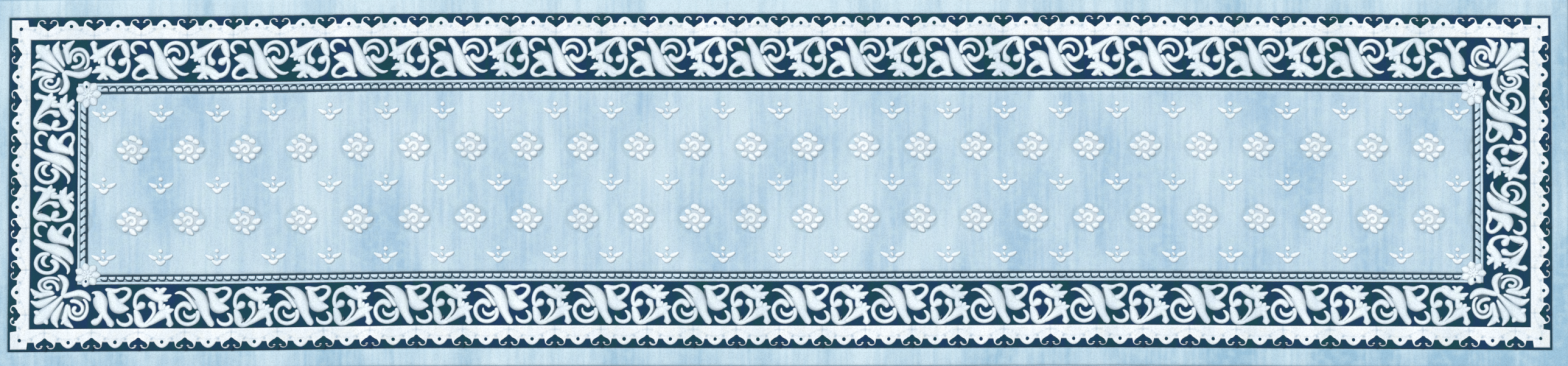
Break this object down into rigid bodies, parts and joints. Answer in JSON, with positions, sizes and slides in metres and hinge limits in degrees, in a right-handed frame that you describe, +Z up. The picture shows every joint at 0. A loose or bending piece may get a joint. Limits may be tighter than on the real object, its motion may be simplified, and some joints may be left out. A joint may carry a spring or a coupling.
{
  "type": "runner rug",
  "caption": "Long tufted runner rug: dark scroll borders with carved light motifs around a pale field of flowers, serged edge and cloth back.",
  "frame": {"origin": "centre of the underside, on the floor", "axes": "+X along the rug's length, +Y across its width, +Z up through the pile"},
  "size_m": [3.2, 0.762, 0.0135],
  "materials": {
    "backing_cloth": "plain woven cotton, natural",
    "latex": "matt foamed latex",
    "tufting_cloth": "plain woven canvas",
    "edge_cord": "twisted cotton",
    "hem_tape": "twill tape",
    "serging_yarn": "wound wool yarn",
    "edge_pile": "cut wool pile",
    "arcade_pile": "cut wool pile",
    "band_pile": "cut wool pile",
    "border_pile": "cut wool pile",
    "motif_pile": "carved cut wool pile",
    "guard_light_pile": "cut wool pile",
    "guard_dark_pile": "cut wool pile",
    "field_pile": "cut wool pile",
    "flower_pile": "carved cut wool pile",
    "label_cloth": "woven satin, blank"
  },
  "bodies": {
    "rug": {"backing_cloth": "backing_cloth", "latex_layer": "latex", "tufting_cloth": "tufting_cloth", "edge_cord": "edge_cord", "hem_tape_north": "hem_tape", "hem_tape_east": "hem_tape", "hem_tape_south": "hem_tape", "hem_tape_west": "hem_tape", "serging_north": "serging_yarn", "serging_east": "serging_yarn", "serging_south": "serging_yarn", "serging_west": "serging_yarn", "edge_pile_north": "edge_pile", "edge_pile_east": "edge_pile", "edge_pile_south": "edge_pile", "edge_pile_west": "edge_pile", "arcade_ground_north": "arcade_pile", "arcade_ground_east": "arcade_pile", "arcade_ground_south": "arcade_pile", "arcade_ground_west": "arcade_pile", "arcade_band_north": "band_pile", "arcade_band_east": "band_pile", "arcade_band_south": "band_pile", "arcade_band_west": "band_pile", "border_ground_north": "border_pile", "border_ground_east": "border_pile", "border_ground_south": "border_pile", "border_ground_west": "border_pile", "scrolls_north": "motif_pile", "scrolls_east": "motif_pile", "scrolls_south": "motif_pile", "scrolls_west": "motif_pile", "guard_rail": "guard_light_pile", "guard_ground": "guard_light_pile", "guard_line": "guard_dark_pile", "corner_palmettes": "motif_pile", "corner_rosettes": "motif_pile", "field_pile": "field_pile", "rosettes_north_row": "flower_pile", "rosettes_south_row": "flower_pile", "sprigs_north_row": "flower_pile", "sprigs_middle_row": "flower_pile", "sprigs_south_row": "flower_pile", "label_margin": "label_cloth"},
    "label": {"care_label": "label_cloth"}
  },
  "joints": [
    {"name": "label_flap", "type": "hinge", "parent": "rug", "child": "label", "pos_m": [-1.41, -0.3259, 0], "axis": [-1, 0, 0], "range_deg": [0, 165], "stiffness_Nm_per_rad": 0.002}
  ]
}
